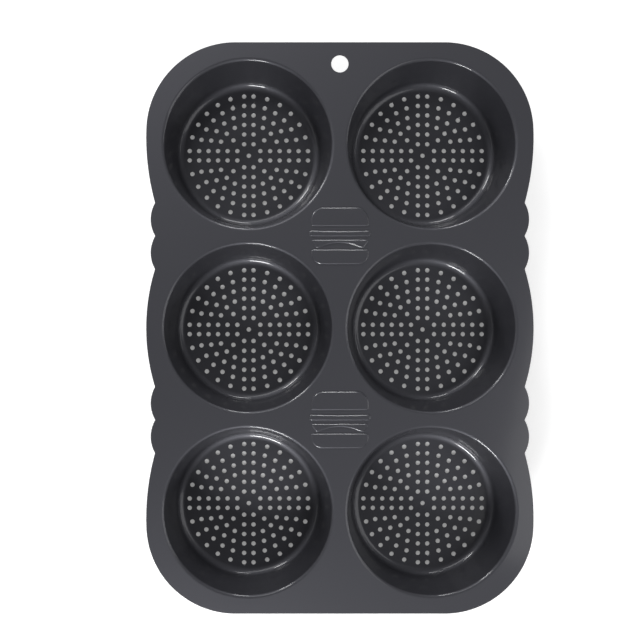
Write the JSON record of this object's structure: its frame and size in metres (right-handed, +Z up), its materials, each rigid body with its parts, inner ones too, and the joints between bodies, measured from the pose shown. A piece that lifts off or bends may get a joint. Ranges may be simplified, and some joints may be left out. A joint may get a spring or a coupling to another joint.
{
  "type": "hamburger bun pan",
  "caption": "Coated steel baking pan with round bun cups in a flat deck; the cup floors are punched with rings of small holes, and the deck has a hanging hole and finger scallops.",
  "frame": {"origin": "middle of the pan's length and width, at the undersides of the cup floors that it stands on", "axes": "+X across the pan's width, +Y along its length towards the hanging hole, +Z up through the open cups"},
  "size_m": [0.2654, 0.3914, 0.0305],
  "materials": {
    "coated_steel": "semi-gloss dark grey non-stick coating"
  },
  "bodies": {
    "root": {"pan": "coated_steel"}
  },
  "joints": []
}
